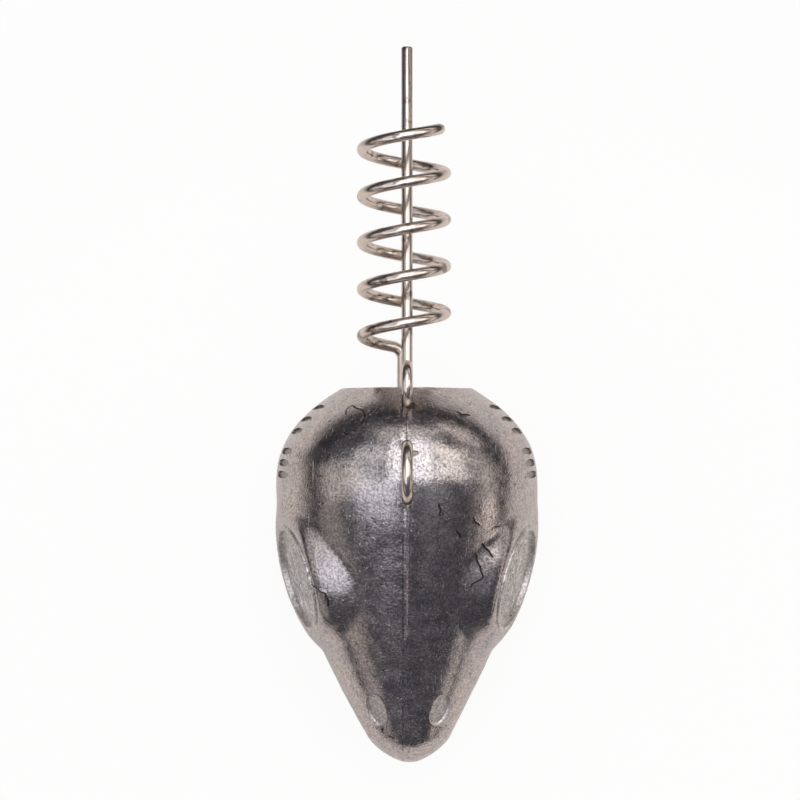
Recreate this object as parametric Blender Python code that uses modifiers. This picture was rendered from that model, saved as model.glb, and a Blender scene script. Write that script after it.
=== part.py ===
"""Screw-in jig head: a lead fish head cast round three stainless wires.

Metres, +Z up. The origin is the middle of the flat seat that a soft lure is
screwed up against. +Y runs back along the pin and the screw, -Y to the nose.
"""

import math

import bmesh
import bpy
import numpy as np
from mathutils import Matrix, Vector

# Lead casting: its reach from the seat, its width, and its heights from the origin
HEAD_LENGTH = 0.03345
HEAD_WIDTH = 0.0234
CROWN_HEIGHT = 0.0125
BELLY_DEPTH = 0.0113
SEAT_WIDTH = 0.0117
SEAT_HEIGHT = 0.0138

# Where along the head each outline is at its fullest, and how round it turns there
GIRTH_FROM_SEAT = 0.0090
CROWN_FROM_SEAT = 0.0076
KEEL_FROM_SEAT = 0.0125
GIRTH_ROUNDING = 0.0120
CROWN_ROUNDING = 0.0026
KEEL_ROUNDING = 0.0080
DOME_POWER = 2.6
BELLY_SQUARENESS = 0.2

# Nose: its tip lies below the origin, and its end is rounded off
NOSE_DROP = 0.0015
NOSE_WIDTH = 0.0049
NOSE_TOP = 0.0033
NOSE_CHIN = 0.0030
NOSE_ROUNDING = 0.0024

# Flat on the keel where the pouring gate was cut off, which the head can lie on
GATE_FLAT_DEPTH = 0.0003

# Eye sockets: flat-floored seats for stick-on eyes, each on a swelling of the cheek
EYE_FROM_SEAT = 0.0170
EYE_RISE = 0.0020
EYE_TILT_UP = math.radians(13.5)
EYE_TURN_FORWARD = math.radians(16.0)
EYE_RING_DIAMETER = 0.0100
EYE_FLOOR_DIAMETER = 0.0088
EYE_SOCKET_DEPTH = 0.00045
EYE_SOCKET_DRAFT = math.radians(8.0)
EYE_SWELLING = 0.0024

# Nostrils, cheek dimples, and the lines of the mouth and the gills
NOSTRIL_FROM_SEAT = 0.0286
NOSTRIL_ANGLE = math.radians(56.0)
NOSTRIL_LENGTH = 0.0031
NOSTRIL_WIDTH = 0.0019
NOSTRIL_DEPTH = 0.00025
DIMPLE_ANGLE = math.radians(17.0)
DIMPLE_LENGTH = 0.0030
DIMPLE_WIDTH = 0.0008
DIMPLE_DEPTH = 0.00030
DIMPLE_PITCH = 0.00105
DIMPLES_IN_ROW = 3
FIRST_ROW_FROM_SEAT = 0.0017
SECOND_ROW_FROM_SEAT = 0.0056
GROOVE_DEPTH = 0.00030
MOUTH_LENGTH = 0.0090
MOUTH_DROOP = math.radians(-36.0)
GILL_FROM_SEAT = 0.0084
GILL_BOW = 0.0022
GILL_TOP_ANGLE = math.radians(-3.0)
GILL_LOW_ANGLE = math.radians(-68.0)

# Wires
WIRE_DIAMETER = 0.0010
PIN_RISE = 0.00185
PIN_LENGTH = 0.0304
PIN_ANCHOR = 0.0090
LINE_EYE_FROM_SEAT = 0.00757
LINE_EYE_WIDTH = 0.0057
LINE_EYE_STAND = 0.0041
EYE_WIRE_DEPTH = 0.0072
REAR_EYE_BEHIND_SEAT = 0.0002
REAR_EYE_WIDTH = 0.0042
REAR_EYE_STAND = 0.0021
REAR_EYE_GAP = 0.00045
COIL_DIAMETER = 0.0084
COIL_PITCH = 0.00415
COIL_TURNS = 4.632
COIL_START_ANGLE = math.radians(27.0)
COIL_REACH = 0.0230
COIL_OFFSET = -0.00027
COIL_ANCHOR = 0.0060
BEND_RADIUS = 0.0011
HOOK_LENGTH = 0.0024

# Gap between the cast lead and each wire in it
CAST_CLEARANCE = 0.0003

# Fineness of the surfaces
RINGS_ON_DOME = 10
RINGS_ON_FACE = 25
RINGS_ON_NOSE = 7
STEPS_ROUND_HALF = 30
SOCKET_SIDES = 48
OVAL_SIDES = 16
GROOVE_POINTS = 15
POINTS_PER_TURN = 24
BEND_STEP = math.radians(15.0)


def clear_scene():
    for old in list(bpy.data.objects):
        bpy.data.objects.remove(old)


def finish(name, colour, roughness, metallic):
    made = bpy.data.materials.new(name)
    made.use_nodes = True
    shader = made.node_tree.nodes["Principled BSDF"]
    shader.inputs["Base Color"].default_value = (*colour, 1.0)
    shader.inputs["Roughness"].default_value = roughness
    shader.inputs["Metallic"].default_value = metallic
    return made


def add_object(name, data, collection):
    made = bpy.data.objects.new(name, data)
    collection.objects.link(made)
    return made


def mesh_from(name, bm):
    mesh = bpy.data.meshes.new(name)
    bm.to_mesh(mesh)
    bm.free()
    return mesh


def add_cutter(name, mesh):
    made = add_object(name, mesh, cutters)
    made.hide_render = True
    made.display_type = "WIRE"
    return made


def cut(target, cutter):
    modifier = target.modifiers.new("cut by " + cutter.name, "BOOLEAN")
    modifier.operation = "DIFFERENCE"
    modifier.object = cutter


def add_other_half(made):
    modifier = made.modifiers.new("other half", "MIRROR")
    modifier.merge_threshold = 0.00001


# Shape of the head


def outline_fall(run, whole, rounding):
    """Share of its fall that an outline has made: it turns over gently, then runs straight."""
    turned = math.hypot(run, rounding) - rounding
    return turned / (math.hypot(whole, rounding) - rounding)


def outline(back, at_seat, fullest, fullest_from_seat, at_nose, rounding):
    """Reach of one outline at a distance from the seat: a dome, then the long face."""
    if back < fullest_from_seat:
        rest = (1 - back / fullest_from_seat) ** DOME_POWER
        return fullest - (fullest - at_seat) * rest
    run = back - fullest_from_seat
    fall = outline_fall(run, HEAD_LENGTH - fullest_from_seat, rounding)
    return fullest - (fullest - at_nose) * fall


def crown_height(back):
    at_nose = NOSE_TOP - NOSE_DROP
    return outline(back, SEAT_HEIGHT / 2, CROWN_HEIGHT, CROWN_FROM_SEAT, at_nose, CROWN_ROUNDING)


def belly_depth(back):
    at_nose = NOSE_CHIN + NOSE_DROP
    return outline(back, SEAT_HEIGHT / 2, BELLY_DEPTH, KEEL_FROM_SEAT, at_nose, KEEL_ROUNDING)


def half_width(back):
    at_nose = NOSE_WIDTH / 2
    return outline(back, SEAT_WIDTH / 2, HEAD_WIDTH / 2, GIRTH_FROM_SEAT, at_nose, GIRTH_ROUNDING)


def plain_point(back, angle):
    """A point of the right side before the cheek swells, at an angle above its widest line."""
    level = -NOSE_DROP * (back / HEAD_LENGTH) ** 2
    into_nose = max(0.0, back - HEAD_LENGTH + NOSE_ROUNDING) / NOSE_ROUNDING
    end = math.sqrt(max(0.0, 1 - into_nose**2))
    across = half_width(back) * end
    if angle >= 0:
        above = (crown_height(back) - level) * end
        return Vector((across * math.cos(angle), -back, level + above * math.sin(angle)))
    below = (belly_depth(back) + level) * end
    power = 1 - BELLY_SQUARENESS * math.sin(math.pi * back / HEAD_LENGTH)
    out = max(0.0, math.cos(angle)) ** power
    down = (-math.sin(angle)) ** power
    return Vector((across * out, -back, level - below * down))


def eye_ring():
    """Middle of the right eye's ring, on the side of the head, and the way it faces."""
    level = plain_point(EYE_FROM_SEAT, 0.0).z
    top = plain_point(EYE_FROM_SEAT, math.pi / 2).z
    middle = plain_point(EYE_FROM_SEAT, math.asin((EYE_RISE - level) / (top - level)))
    flat = Vector((math.cos(EYE_TURN_FORWARD), -math.sin(EYE_TURN_FORWARD), 0.0))
    facing = flat * math.cos(EYE_TILT_UP) + Vector((0.0, 0.0, math.sin(EYE_TILT_UP)))
    return middle, facing


def head_point(back, angle):
    """A point of the right side of the head, which swells to a flat ring round the eye."""
    point = plain_point(back, angle)
    offset = point - eye_middle
    height = offset.dot(eye_facing)
    spread = (offset - height * eye_facing).length
    share = min(1.0, max(0.0, (spread - EYE_RING_DIAMETER / 2) / EYE_SWELLING))
    pull = (1 - share) ** 2 * (1 + 2 * share)
    return point - pull * height * eye_facing


def surface_frame(back, angle):
    """Matrix at a point of the surface: X along the head, Y round it and Z outwards."""
    step = HEAD_LENGTH / 1000
    turn = step / HEAD_WIDTH
    along = head_point(back + step, angle) - head_point(back - step, angle)
    around = head_point(back, angle + turn) - head_point(back, angle - turn)
    outward = around.cross(along).normalized()
    along.normalize()
    frame = Matrix((along, outward.cross(along), outward)).transposed().to_4x4()
    frame.translation = head_point(back, angle)
    return frame


def ring_stations():
    """Each ring's distance from the seat: close together on the dome and the nose."""
    nose = HEAD_LENGTH - NOSE_ROUNDING
    for i in range(RINGS_ON_DOME):
        yield GIRTH_FROM_SEAT * (i / RINGS_ON_DOME) ** 1.3
    for i in range(RINGS_ON_FACE):
        yield GIRTH_FROM_SEAT + (nose - GIRTH_FROM_SEAT) * i / RINGS_ON_FACE
    for i in range(RINGS_ON_NOSE):
        yield nose + NOSE_ROUNDING * math.sin(math.pi / 2 * i / RINGS_ON_NOSE)


def half_head():
    """A loft from the oval seat to the nose: the right half, open where the mould parts."""
    bm = bmesh.new()
    angles = [math.pi * (i / STEPS_ROUND_HALF - 0.5) for i in range(STEPS_ROUND_HALF + 1)]
    rings = []
    for back in ring_stations():
        ring = [bm.verts.new(head_point(back, angle)) for angle in angles]
        ring[0].co.x = 0.0
        ring[-1].co.x = 0.0
        rings.append(ring)
    for ring, following in zip(rings, rings[1:]):
        for i in range(STEPS_ROUND_HALF):
            bm.faces.new((ring[i], ring[i + 1], following[i + 1], following[i]))
    bm.faces.new(rings[0][::-1])
    tip = bm.verts.new((0.0, -HEAD_LENGTH, -NOSE_DROP))
    for i in range(STEPS_ROUND_HALF):
        bm.faces.new((rings[-1][i], rings[-1][i + 1], tip))
    return mesh_from("head_casting", bm)


# Wires: each is a path of points with a round tube along it


def rounded_path(corners, radius):
    """The line through the corners, with an arc of the radius at each inner one."""
    path = [corners[0]]
    for before, corner, after in zip(corners, corners[1:], corners[2:]):
        arriving = (corner - before).normalized()
        leaving = (after - corner).normalized()
        turn = arriving.angle(leaving)
        middle = corner + (leaving - arriving).normalized() * (radius / math.cos(turn / 2))
        first = corner - arriving * (radius * math.tan(turn / 2)) - middle
        axis = arriving.cross(leaving)
        steps = max(2, round(turn / BEND_STEP))
        for i in range(steps + 1):
            spot = middle + Matrix.Rotation(turn * i / steps, 3, axis) @ first
            if (spot - path[-1]).length > WIRE_DIAMETER / 50:
                path.append(spot)
    path.append(corners[-1])
    return path


def tube(name, path, diameter, roundness, collection):
    curve = bpy.data.curves.new(name, "CURVE")
    curve.dimensions = "3D"
    curve.bevel_depth = diameter / 2
    curve.bevel_resolution = roundness
    curve.use_fill_caps = True
    spline = curve.splines.new("POLY")
    spline.points.add(len(path) - 1)
    for spot, point in zip(spline.points, path):
        spot.co = (*point, 1.0)
    return add_object(name, curve, collection)


def tube_cutter(name, path, diameter, roundness):
    """The same tube as one closed mesh, which can be cut away from the head."""
    swept = tube(name, path, diameter, roundness, cutters)
    evaluated = swept.evaluated_get(bpy.context.evaluated_depsgraph_get())
    mesh = bpy.data.meshes.new_from_object(evaluated)
    place = swept.matrix_world.copy()
    bpy.data.objects.remove(swept)
    bm = bmesh.new()
    bm.from_mesh(mesh)
    bmesh.ops.remove_doubles(bm, verts=bm.verts, dist=0.000001)
    bmesh.ops.recalc_face_normals(bm, faces=bm.faces)
    made = add_cutter(name, mesh_from(name, bm))
    made.matrix_world = place
    return made


def add_wire(name, path, roundness, material):
    """The wire, and the tunnel for it in the lead: a wider tube that runs on past its foot."""
    wire = tube(name, path, WIRE_DIAMETER, roundness, parts)
    wire.data.materials.append(material)
    beyond = path[-1] + (path[-1] - path[-2]).normalized() * CAST_CLEARANCE
    width = WIRE_DIAMETER + 2 * CAST_CLEARANCE
    cut(head, tube_cutter(name + "_tunnel", [*path[:-1], beyond], width, roundness))


def least_gap(path):
    """Clear space between turns: the least distance of points over half a turn apart."""
    spots = np.array(path)
    steps = np.linalg.norm(np.diff(spots, axis=0), axis=1)
    reach = np.concatenate([[0.0], np.cumsum(steps)])
    distance = np.linalg.norm(spots[:, None] - spots[None], axis=2)
    apart = np.abs(reach[:, None] - reach[None]) > math.pi * COIL_DIAMETER / 2
    return distance[apart].min() - WIRE_DIAMETER


def pin_path():
    """Straight from its cut tip into the lead, where its foot turns aside."""
    return rounded_path(
        [
            Vector((0.0, PIN_LENGTH, PIN_RISE)),
            Vector((0.0, -PIN_ANCHOR, PIN_RISE)),
            Vector((HOOK_LENGTH, -PIN_ANCHOR, PIN_RISE)),
        ],
        BEND_RADIUS,
    )


def eye_wire_path():
    """From the rear eye's end, over it, forward under the crown and round the line eye."""
    run = crown_height(LINE_EYE_FROM_SEAT) - EYE_WIRE_DEPTH
    rear_radius = (REAR_EYE_WIDTH - WIRE_DIAMETER) / 2
    rear = REAR_EYE_BEHIND_SEAT + rear_radius
    foot = REAR_EYE_BEHIND_SEAT - rear_radius
    rear_top = crown_height(-foot) + REAR_EYE_STAND - WIRE_DIAMETER / 2
    rear_low = rear_top - 2 * rear_radius
    rear_eye = rounded_path(
        [
            Vector((0.0, foot + WIRE_DIAMETER + REAR_EYE_GAP, rear_low)),
            Vector((0.0, rear, rear_low)),
            Vector((0.0, rear, rear_top)),
            Vector((0.0, foot, rear_top)),
            Vector((0.0, foot, rear_low)),
        ],
        rear_radius,
    )
    line_radius = (LINE_EYE_WIDTH - WIRE_DIAMETER) / 2
    behind = -LINE_EYE_FROM_SEAT + line_radius
    front = -LINE_EYE_FROM_SEAT - line_radius
    line_top = crown_height(LINE_EYE_FROM_SEAT) + LINE_EYE_STAND - WIRE_DIAMETER / 2
    buried = rounded_path(
        [
            rear_eye[-1],
            Vector((0.0, foot, run)),
            Vector((0.0, behind, run)),
            Vector((0.0, behind, line_top - line_radius)),
        ],
        BEND_RADIUS,
    )
    line_eye = rounded_path(
        [
            buried[-1],
            Vector((0.0, behind, line_top)),
            Vector((0.0, front, line_top)),
            Vector((0.0, front, run)),
        ],
        line_radius,
    )
    return [*rear_eye, *buried[1:], *line_eye[1:]]


def coil_path():
    """A right-hand coil from its free end down to a leg that runs square into the seat."""
    radius = (COIL_DIAMETER - WIRE_DIAMETER) / 2
    steps = math.ceil(COIL_TURNS * POINTS_PER_TURN)
    path = []
    for i in range(steps + 1):
        turns = COIL_TURNS * i / steps
        angle = COIL_START_ANGLE + 2 * math.pi * turns
        across = COIL_OFFSET + radius * math.cos(angle)
        up = PIN_RISE + radius * math.sin(angle)
        path.append(Vector((across, COIL_REACH - COIL_PITCH * turns, up)))
    heading = Vector(
        (-math.sin(angle), -COIL_PITCH / (2 * math.pi * radius), math.cos(angle))
    ).normalized()
    into_lead = Vector((0.0, -1.0, 0.0))
    corner = path[-1] + heading * (BEND_RADIUS * math.tan(heading.angle(into_lead) / 2))
    leg_end = Vector((corner.x, -COIL_ANCHOR, corner.z))
    hook_end = leg_end - Vector((0.0, 0.0, HOOK_LENGTH))
    leg = rounded_path([path[-1], corner, leg_end, hook_end], BEND_RADIUS)
    return [*path, *leg[1:]]


# Cutters for the details of the casting


def add_socket_cutter():
    """A drum whose inner end is the floor of the right socket, and its twin."""
    height = 2 * EYE_SOCKET_DEPTH + EYE_SWELLING
    bm = bmesh.new()
    bmesh.ops.create_cone(
        bm,
        cap_ends=True,
        segments=SOCKET_SIDES,
        radius1=EYE_FLOOR_DIAMETER / 2,
        radius2=EYE_FLOOR_DIAMETER / 2 + height * math.tan(EYE_SOCKET_DRAFT),
        depth=height,
    )
    middle = eye_middle + eye_facing * (height / 2 - EYE_SOCKET_DEPTH)
    turn = eye_facing.to_track_quat("Z", "Y").to_matrix().to_4x4()
    bmesh.ops.transform(bm, matrix=Matrix.Translation(middle) @ turn, verts=bm.verts)
    made = add_cutter("socket_cutter", mesh_from("socket_cutter", bm))
    add_other_half(made)
    return made


def add_oval(bm, frame, along, around, depth):
    """An ellipsoid on the surface, half sunk in it."""
    size = Matrix.Diagonal((along / 2, around / 2, depth, 1.0))
    bmesh.ops.create_uvsphere(
        bm, u_segments=OVAL_SIDES, v_segments=OVAL_SIDES // 2, radius=1.0, matrix=frame @ size
    )


def add_oval_cutter():
    """The nostril and the two rows of dimples of the right side, and their twins."""
    bm = bmesh.new()
    nostril = surface_frame(NOSTRIL_FROM_SEAT, NOSTRIL_ANGLE)
    add_oval(bm, nostril, NOSTRIL_LENGTH, NOSTRIL_WIDTH, NOSTRIL_DEPTH)
    for start in (FIRST_ROW_FROM_SEAT, SECOND_ROW_FROM_SEAT):
        for i in range(DIMPLES_IN_ROW):
            dimple = surface_frame(start + i * DIMPLE_PITCH, DIMPLE_ANGLE)
            add_oval(bm, dimple, DIMPLE_WIDTH, DIMPLE_LENGTH, DIMPLE_DEPTH)
    made = add_cutter("oval_cutter", mesh_from("oval_cutter", bm))
    add_other_half(made)
    return made


def add_gate_cutter():
    """A block below the keel, up to the flat that is left by the pouring gate."""
    flat = GATE_FLAT_DEPTH - BELLY_DEPTH
    middle = Vector((0.0, -KEEL_FROM_SEAT, flat - HEAD_WIDTH / 2))
    bm = bmesh.new()
    bmesh.ops.create_cube(bm, size=HEAD_WIDTH, matrix=Matrix.Translation(middle))
    return add_cutter("gate_cutter", mesh_from("gate_cutter", bm))


def mouth_path():
    """Along the left cheek to the nose and back along the right one."""
    right = []
    for i in range(GROOVE_POINTS):
        share = math.sin(math.pi / 2 * i / (GROOVE_POINTS - 1))
        back = HEAD_LENGTH - MOUTH_LENGTH * (1 - share)
        right.append(head_point(back, MOUTH_DROOP * (1 - 0.5 * share)))
    left = [Vector((-point.x, point.y, point.z)) for point in right]
    return [*left[:-1], *right[::-1]]


def gill_path():
    """A bow down the right cheek, behind the eye."""
    path = []
    for i in range(GROOVE_POINTS):
        share = i / (GROOVE_POINTS - 1)
        angle = GILL_TOP_ANGLE + (GILL_LOW_ANGLE - GILL_TOP_ANGLE) * share
        path.append(head_point(GILL_FROM_SEAT + GILL_BOW * (2 * share - 1) ** 2, angle))
    return path


clear_scene()
parts = bpy.data.collections.new("screw_in_jig_head")
cutters = bpy.data.collections.new("cutters")
bpy.context.scene.collection.children.link(parts)
bpy.context.scene.collection.children.link(cutters)

lead = finish("cast lead", (0.17, 0.16, 0.155), 0.42, 0.9)
steel = finish("stainless spring wire", (0.56, 0.51, 0.47), 0.2, 1.0)

eye_middle, eye_facing = eye_ring()
head = add_object("head_casting", half_head(), parts)
head.data.materials.append(lead)
head.data.shade_smooth()
add_other_half(head)
cut(head, add_socket_cutter())
cut(head, add_oval_cutter())
cut(head, add_gate_cutter())
cut(head, tube_cutter("mouth_cutter", mouth_path(), 2 * GROOVE_DEPTH, 1))
gill = tube_cutter("gill_cutter", gill_path(), 2 * GROOVE_DEPTH, 1)
add_other_half(gill)
cut(head, gill)

coil = coil_path()
add_wire("centre_pin", pin_path(), 2, steel)
add_wire("eye_wire", eye_wire_path(), 2, steel)
add_wire("screw_coil", coil, 1, steel)

floor_middle = eye_middle - eye_facing * EYE_SOCKET_DEPTH
print("right eye seat: middle", [round(v, 7) for v in floor_middle])
print("right eye seat: facing", [round(v, 7) for v in eye_facing])
print(f"screw coil: least gap between its turns {least_gap(coil) * 1000:.2f} mm")
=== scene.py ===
"""Looks of the screw-in jig head: a tumbled lead casting on three drawn stainless wires.

It lies on its keel, and the camera looks down on its crown, as in the photograph.
Metres, with the origin in the middle of the seat that the lure is screwed up against.
"""

import math

import bmesh
import bpy
from mathutils import Matrix, Vector, noise


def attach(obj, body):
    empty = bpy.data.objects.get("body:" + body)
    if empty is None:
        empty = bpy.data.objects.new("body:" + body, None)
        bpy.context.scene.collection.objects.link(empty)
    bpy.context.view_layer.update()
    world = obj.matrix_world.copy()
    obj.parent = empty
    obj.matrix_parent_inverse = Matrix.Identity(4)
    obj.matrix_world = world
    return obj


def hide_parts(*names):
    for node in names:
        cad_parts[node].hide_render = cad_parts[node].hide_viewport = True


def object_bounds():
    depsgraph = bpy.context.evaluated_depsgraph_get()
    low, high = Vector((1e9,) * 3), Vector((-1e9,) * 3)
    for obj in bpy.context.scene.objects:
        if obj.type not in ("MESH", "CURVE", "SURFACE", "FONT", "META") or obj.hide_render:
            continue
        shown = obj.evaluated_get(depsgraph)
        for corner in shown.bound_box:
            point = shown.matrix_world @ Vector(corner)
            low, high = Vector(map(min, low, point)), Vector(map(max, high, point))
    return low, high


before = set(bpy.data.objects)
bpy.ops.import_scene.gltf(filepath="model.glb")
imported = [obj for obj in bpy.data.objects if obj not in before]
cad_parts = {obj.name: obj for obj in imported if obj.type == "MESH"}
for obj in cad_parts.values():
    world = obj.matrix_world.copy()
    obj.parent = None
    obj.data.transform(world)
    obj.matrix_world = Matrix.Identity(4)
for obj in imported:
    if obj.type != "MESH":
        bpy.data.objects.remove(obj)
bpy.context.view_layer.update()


# Lead head: poured in a two-part steel mould that closes on the middle plane, round the wires.
# It comes out as one casting, with a flash line over the crown and the keel, a round seat for a
# stick-on eye on a low boss on each cheek, and a rough flat on the keel where the gate was cut off.
HEAD_LENGTH = 0.03345
HEAD_WIDTH = 0.0234
CROWN_HEIGHT = 0.0125
BELLY_DEPTH = 0.0113
SEAT_WIDTH = 0.0117
SEAT_HEIGHT = 0.0138
GIRTH_FROM_SEAT = 0.0090
CROWN_FROM_SEAT = 0.0076
KEEL_FROM_SEAT = 0.0125
GIRTH_ROUNDING = 0.0120
CROWN_ROUNDING = 0.0026
KEEL_ROUNDING = 0.0080
DOME_POWER = 2.6
BELLY_SQUARENESS = 0.2
NOSE_DROP = 0.0015
NOSE_WIDTH = 0.0049
NOSE_TOP = 0.0033
NOSE_CHIN = 0.0030
NOSE_ROUNDING = 0.0024
GATE_FLAT_DEPTH = 0.0003
# The sheared face: how high its ridges are, and how many noise cells fit in a metre of it
SHEAR_HEIGHT = 0.00003
SHEAR_WAVES = (900.0, 2600.0)

EYE_FROM_SEAT = 0.0170
EYE_RISE = 0.0020
EYE_TILT_UP = math.radians(13.5)
EYE_TURN_FORWARD = math.radians(16.0)
EYE_RING_DIAMETER = 0.0100
EYE_FLOOR_DIAMETER = 0.0088
EYE_SOCKET_DEPTH = 0.00045
EYE_SOCKET_DRAFT = math.radians(8.0)
EYE_SWELLING = 0.0024
EYE_BOSS_HEIGHT = 0.00022
EYE_BOSS_ROLL = 0.00018
EYE_BOSS_ROOT = 0.0022
EYE_SOCKET_FILLET = 0.00012
EYE_CUTTER_RISE = 0.0012
RIB_OFFSETS = (-0.0024, -0.0008, 0.0008, 0.0024)
RIB_DIAMETER = 0.00050
RIB_HEIGHT = 0.00016
RIB_REACH = 0.0037
RIB_POINTS = 40
RIB_WANDER = 0.00008
# Steps through the noise for each point of a rib, each metre of its offset, and its side
RIB_NOISE_STEPS = (0.45, 2000.0, 3.0)

RINGS_ON_DOME = 60
RINGS_ON_FACE = 112
RINGS_ON_NOSE = 26
RINGS_ON_SEAT = 14
STEPS_ROUND_HALF = 110
STEPS_ROUND_DISC = 200
DOME_CROWDING = 1.3
# Columns that take the flash line: steps from the crown, besides the one on it
FLASH_COLUMNS = (0.35, 0.15)
FLASH_HEIGHT = 0.00005
NOSE_SKEW = 0.00022
NOSE_SKEW_FROM = 0.0190

NOSTRIL_FROM_SEAT = 0.0286
NOSTRIL_ANGLE = math.radians(56.0)
NOSTRIL_SIZE = (0.0031, 0.0021, 0.00016)
NOSTRIL_TILT = math.radians(6.0)
DIMPLE_ANGLE = math.radians(17.0)
DIMPLE_SIZE = (0.0006, 0.0034, 0.00025)
DIMPLE_PITCH = 0.00105
DIMPLES_IN_ROW = 3
DIMPLE_ROWS_FROM_SEAT = (0.0017, 0.0056)
# Chips beside the wires: distance from the seat, offset to the right, and size
CHIPS = (
    (0.0016, 0.0004, (0.0012, 0.0009, 0.00030)),
    (0.0052, -0.0005, (0.0009, 0.0004, 0.00012)),
    (0.0059, 0.0006, (0.0005, 0.0009, 0.00014)),
    (0.0089, 0.0007, (0.0009, 0.0004, 0.00012)),
    (0.0104, -0.0002, (0.0004, 0.0010, 0.00010)),
)
# Creases: distance from the seat, offset to the right, heading in degrees from the nose's
# direction towards the right, length, and how much it curls in radians for each millimetre
CREASES = (
    (0.0040, -0.0056, 55.0, 0.0058, 0.95),
    (0.0022, 0.0044, 60.0, 0.0014, 0.0),
    (0.0147, 0.0060, 15.0, 0.0034, -0.25),
    (0.0103, 0.0028, 10.0, 0.0013, 0.0),
    (0.0115, 0.0058, 40.0, 0.0011, 0.3),
    (0.0127, 0.0043, 55.0, 0.0009, 0.0),
    (0.0126, 0.0074, 115.0, 0.0010, 0.4),
    (0.0138, 0.0066, 20.0, 0.0012, -0.5),
    (0.0169, -0.0077, 85.0, 0.0034, -0.50),
    (0.0190, -0.0076, 20.0, 0.0013, 0.2),
    (0.0301, -0.0023, 15.0, 0.0008, 0.0),
    (0.0309, -0.0018, 60.0, 0.0007, 0.0),
)
CREASE_STEP = 0.00014
CREASE_WIDTH = 0.00011
CREASE_WANDER = 1.6
CREASE_WAVES = 2500.0
GROOVE_DEPTH = 0.00030
GROOVE_POINTS = 40
MOUTH_LENGTH = 0.0090
MOUTH_DROOP = math.radians(-36.0)
# Share of its droop that the mouth loses on the way to the nose
MOUTH_RISE = 0.5
GILL_FROM_SEAT = 0.0084
GILL_BOW = 0.0022
GILL_TOP_ANGLE = math.radians(-3.0)
GILL_LOW_ANGLE = math.radians(-68.0)


def outline_fall(run, whole, rounding):
    """Share of its fall that an outline has made: it turns over gently, then runs straight."""
    turned = math.hypot(run, rounding) - rounding
    return turned / (math.hypot(whole, rounding) - rounding)


def outline(back, at_seat, fullest, fullest_from_seat, at_nose, rounding):
    """Reach of one outline at a distance from the seat: a dome, then the long face."""
    if back < fullest_from_seat:
        rest = (1 - back / fullest_from_seat) ** DOME_POWER
        return fullest - (fullest - at_seat) * rest
    run = back - fullest_from_seat
    fall = outline_fall(run, HEAD_LENGTH - fullest_from_seat, rounding)
    return fullest - (fullest - at_nose) * fall


def crown_height(back):
    at_nose = NOSE_TOP - NOSE_DROP
    return outline(back, SEAT_HEIGHT / 2, CROWN_HEIGHT, CROWN_FROM_SEAT, at_nose, CROWN_ROUNDING)


def belly_depth(back):
    at_nose = NOSE_CHIN + NOSE_DROP
    return outline(back, SEAT_HEIGHT / 2, BELLY_DEPTH, KEEL_FROM_SEAT, at_nose, KEEL_ROUNDING)


def half_width(back):
    at_nose = NOSE_WIDTH / 2
    return outline(back, SEAT_WIDTH / 2, HEAD_WIDTH / 2, GIRTH_FROM_SEAT, at_nose, GIRTH_ROUNDING)


def plain_point(back, angle):
    """A point of the right side before the cheek swells, at an angle above its widest line."""
    level = -NOSE_DROP * (back / HEAD_LENGTH) ** 2
    into_nose = max(0.0, back - HEAD_LENGTH + NOSE_ROUNDING) / NOSE_ROUNDING
    end = math.sqrt(max(0.0, 1 - into_nose**2))
    across = half_width(back) * end
    if angle >= 0:
        above = (crown_height(back) - level) * end
        return Vector((across * math.cos(angle), -back, level + above * math.sin(angle)))
    below = (belly_depth(back) + level) * end
    power = 1 - BELLY_SQUARENESS * math.sin(math.pi * back / HEAD_LENGTH)
    out = max(0.0, math.cos(angle)) ** power
    down = (-math.sin(angle)) ** power
    return Vector((across * out, -back, level - below * down))


def eye_ring():
    """Middle of the right eye's ring, on the side of the head, and the way it faces."""
    level = plain_point(EYE_FROM_SEAT, 0.0).z
    top = plain_point(EYE_FROM_SEAT, math.pi / 2).z
    middle = plain_point(EYE_FROM_SEAT, math.asin((EYE_RISE - level) / (top - level)))
    flat = Vector((math.cos(EYE_TURN_FORWARD), -math.sin(EYE_TURN_FORWARD), 0.0))
    facing = flat * math.cos(EYE_TILT_UP) + Vector((0.0, 0.0, math.sin(EYE_TILT_UP)))
    return middle, facing


eye_middle, eye_facing = eye_ring()


def head_point(back, angle):
    """A point of the right side, flattened round the eye, where the boss stands on it."""
    point = plain_point(back, angle)
    offset = point - eye_middle
    height = offset.dot(eye_facing)
    flat = offset - height * eye_facing
    share = min(1.0, max(0.0, (flat.length - EYE_RING_DIAMETER / 2) / EYE_SWELLING))
    pull = (1 - share) ** 2 * (1 + 2 * share)
    upward = 0.5 + 0.5 * flat.z / max(flat.length, EYE_RING_DIAMETER / 2)
    return point - pull * (height + EYE_BOSS_HEIGHT * upward) * eye_facing


def surface_frame(back, angle):
    """Matrix at a point of the surface: X along the head, Y round it and Z outwards."""
    step = HEAD_LENGTH / 1000
    turn = step / HEAD_WIDTH
    along = head_point(back + step, angle) - head_point(back - step, angle)
    around = head_point(back, angle + turn) - head_point(back, angle - turn)
    outward = around.cross(along).normalized()
    along.normalize()
    turned = Matrix((along, outward.cross(along), outward)).transposed().to_4x4()
    turned.translation = head_point(back, angle)
    return turned


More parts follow.
